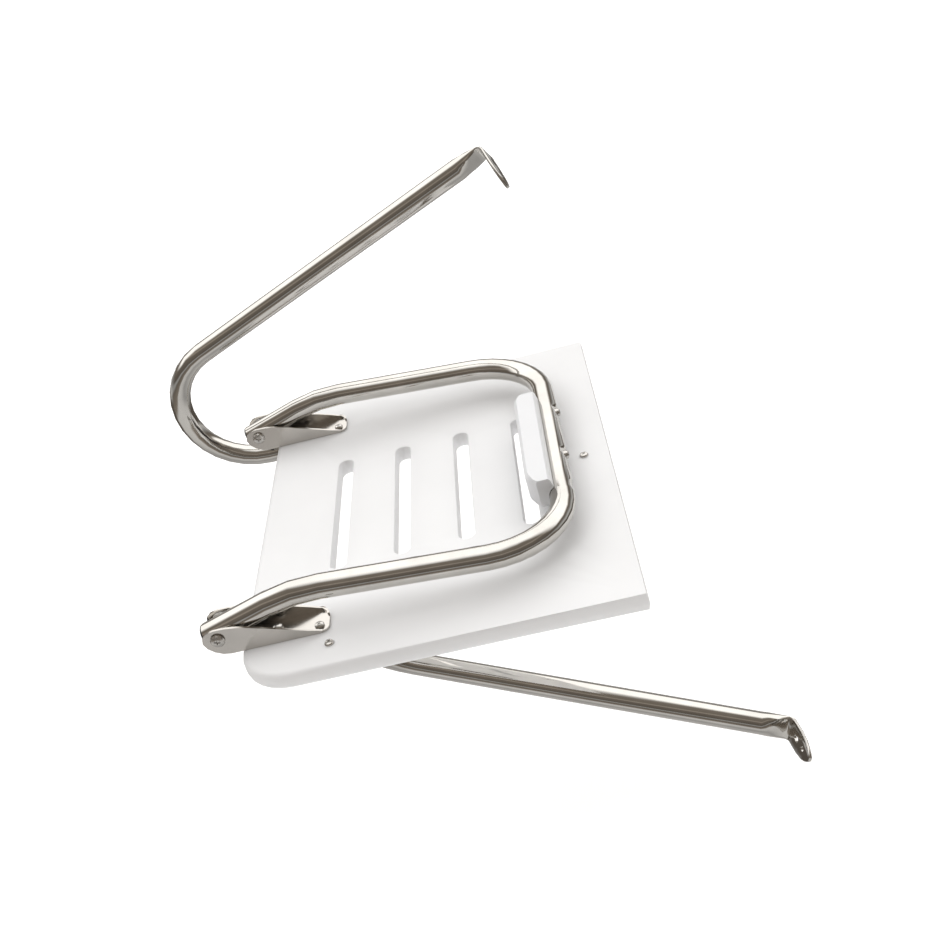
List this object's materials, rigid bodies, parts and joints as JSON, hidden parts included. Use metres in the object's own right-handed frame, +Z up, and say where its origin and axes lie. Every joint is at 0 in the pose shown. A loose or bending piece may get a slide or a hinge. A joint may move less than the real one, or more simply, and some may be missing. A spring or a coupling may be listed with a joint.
{
  "type": "boat swim platform with folding ladder",
  "caption": "Small white transom swim platform with rounded aft corners, slotted deck, folding tube ladder with a plastic step, and bent tube struts.",
  "frame": {"origin": "middle of the board's upper face: x = 0 halfway from aft edge to transom edge, y = 0 halfway across, z = 0 on the walking surface", "axes": "+X towards the boat's transom, +Y across the board, +Z up out of the board"},
  "size_m": [0.6504, 0.52, 0.6215],
  "materials": {
    "white_board": "satin, softly rounded edges",
    "white_step": "satin",
    "white_nylon": "natural",
    "black_plug": "moulded",
    "bracket_steel": "polished stainless sheet",
    "tube_steel": "polished stainless tube",
    "fastener_steel": "stainless"
  },
  "bodies": {
    "platform": {"centre_board_screw": "fastener_steel", "centre_nut": "fastener_steel", "edge_board_screw": "fastener_steel", "edge_nut": "fastener_steel", "far_base_bolt": "fastener_steel", "far_base_nut": "fastener_steel", "far_hinge_bracket": "bracket_steel", "far_nose_nut": "fastener_steel", "far_nose_screw": "fastener_steel", "far_pivot_nut": "fastener_steel", "far_pivot_screw": "fastener_steel", "near_base_bolt": "fastener_steel", "near_base_nut": "fastener_steel", "near_hinge_bracket": "bracket_steel", "near_nose_nut": "fastener_steel", "near_nose_screw": "fastener_steel", "near_pivot_nut": "fastener_steel", "near_pivot_screw": "fastener_steel", "platform_board": "white_board"},
    "ladder": {"far_ladder_plug": "black_plug", "far_pivot_bush_inner": "white_nylon", "far_pivot_bush_outer": "white_nylon", "ladder_step": "white_step", "ladder_tube": "tube_steel", "near_ladder_plug": "black_plug", "near_pivot_bush_inner": "white_nylon", "near_pivot_bush_outer": "white_nylon", "step_bolt_far": "fastener_steel", "step_bolt_near": "fastener_steel", "step_nut_far": "fastener_steel", "step_nut_near": "fastener_steel"},
    "far_clamp": {"far_clamp_cap": "white_nylon", "far_clamp_screw_a": "fastener_steel", "far_clamp_screw_b": "fastener_steel", "far_clamp_upper": "white_nylon"},
    "far_strut_arm": {"far_strut": "tube_steel", "far_strut_plug": "black_plug"},
    "near_clamp": {"near_clamp_cap": "white_nylon", "near_clamp_screw_a": "fastener_steel", "near_clamp_screw_b": "fastener_steel", "near_clamp_upper": "white_nylon"},
    "near_strut_arm": {"near_strut": "tube_steel", "near_strut_plug": "black_plug"}
  },
  "joints": [
    {"name": "ladder_fold", "type": "hinge", "parent": "platform", "child": "ladder", "pos_m": [-0.2132, 0, 0.01955], "axis": [0, -1, 0], "range_deg": [0, 255]},
    {"name": "far_clamp_swivel", "type": "hinge", "parent": "platform", "child": "far_clamp", "pos_m": [-0.1063, 0.234, -0.0363], "axis": [0, 0, 1], "range_deg": [-15, 0]},
    {"name": "far_strut_roll", "type": "hinge", "parent": "far_clamp", "child": "far_strut_arm", "pos_m": [-0.1063, 0.234, -0.0363], "axis": [1, 0, 0], "range_deg": [-190, 0]},
    {"name": "near_clamp_swivel", "type": "hinge", "parent": "platform", "child": "near_clamp", "pos_m": [-0.01417, -0.17352, -0.0363], "axis": [0, 0, 1], "range_deg": [-10, 30]},
    {"name": "near_strut_roll", "type": "hinge", "parent": "near_clamp", "child": "near_strut_arm", "pos_m": [-0.01417, -0.17352, -0.0363], "axis": [0.9255, -0.3786, 0], "range_deg": [-60, 20]}
  ]
}
